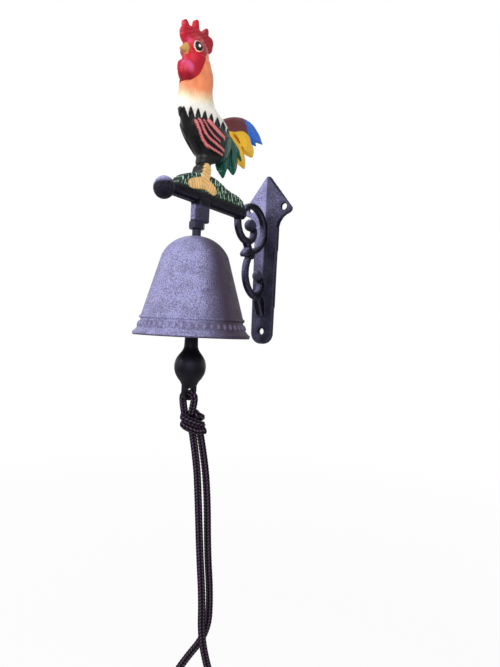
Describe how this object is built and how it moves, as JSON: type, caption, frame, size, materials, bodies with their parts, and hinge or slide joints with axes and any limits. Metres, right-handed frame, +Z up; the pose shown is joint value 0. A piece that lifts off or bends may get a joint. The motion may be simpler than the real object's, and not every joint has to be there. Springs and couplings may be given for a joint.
{
  "type": "doorbell",
  "caption": "Wall-mounted hand bell: an iron bracket with a painted rooster on its arm carries a free-turning bell with a hanging clapper and a pull cord.",
  "frame": {"origin": "midway between the two upper screw holes, on the back face of the wall plate", "axes": "+Z up, -Y away from the wall along the arm, X = 0 is the casting's mirror plane"},
  "size_m": [0.105, 0.1725, 0.6291],
  "materials": {
    "painted_casting": "black satin paint over rough cast iron; the rooster and grass are hand painted in several colours",
    "painted_hardware": "black painted steel",
    "plain_steel": "zinc plated",
    "bell_iron": "black satin paint over rough cast iron",
    "clapper_iron": "black satin paint",
    "cord": "braided polyester"
  },
  "bodies": {
    "bracket": {"bracket": "painted_casting", "lock_nut": "painted_hardware", "eye_bolt": "painted_hardware", "crown_washer": "plain_steel", "crown_nut": "plain_steel"},
    "bell": {"bell": "bell_iron"},
    "link": {"clapper_link": "plain_steel"},
    "clapper": {"clapper": "clapper_iron", "cord_eye_loop": "cord", "cord_knot": "cord", "pull_cord": "cord"}
  },
  "joints": [
    {"name": "bell_spin", "type": "hinge", "parent": "bracket", "child": "bell", "pos_m": [0, -0.12, -0.0574], "axis": [0, 0, 1], "continuous": true},
    {"name": "link_swing", "type": "hinge", "parent": "bracket", "child": "link", "pos_m": [0, -0.12, -0.08495], "axis": [0, 1, 0], "range_deg": [-9, 9]},
    {"name": "clapper_swing", "type": "hinge", "parent": "link", "child": "clapper", "pos_m": [0, -0.12, -0.1009], "axis": [1, 0, 0], "range_deg": [-27, 27]}
  ]
}
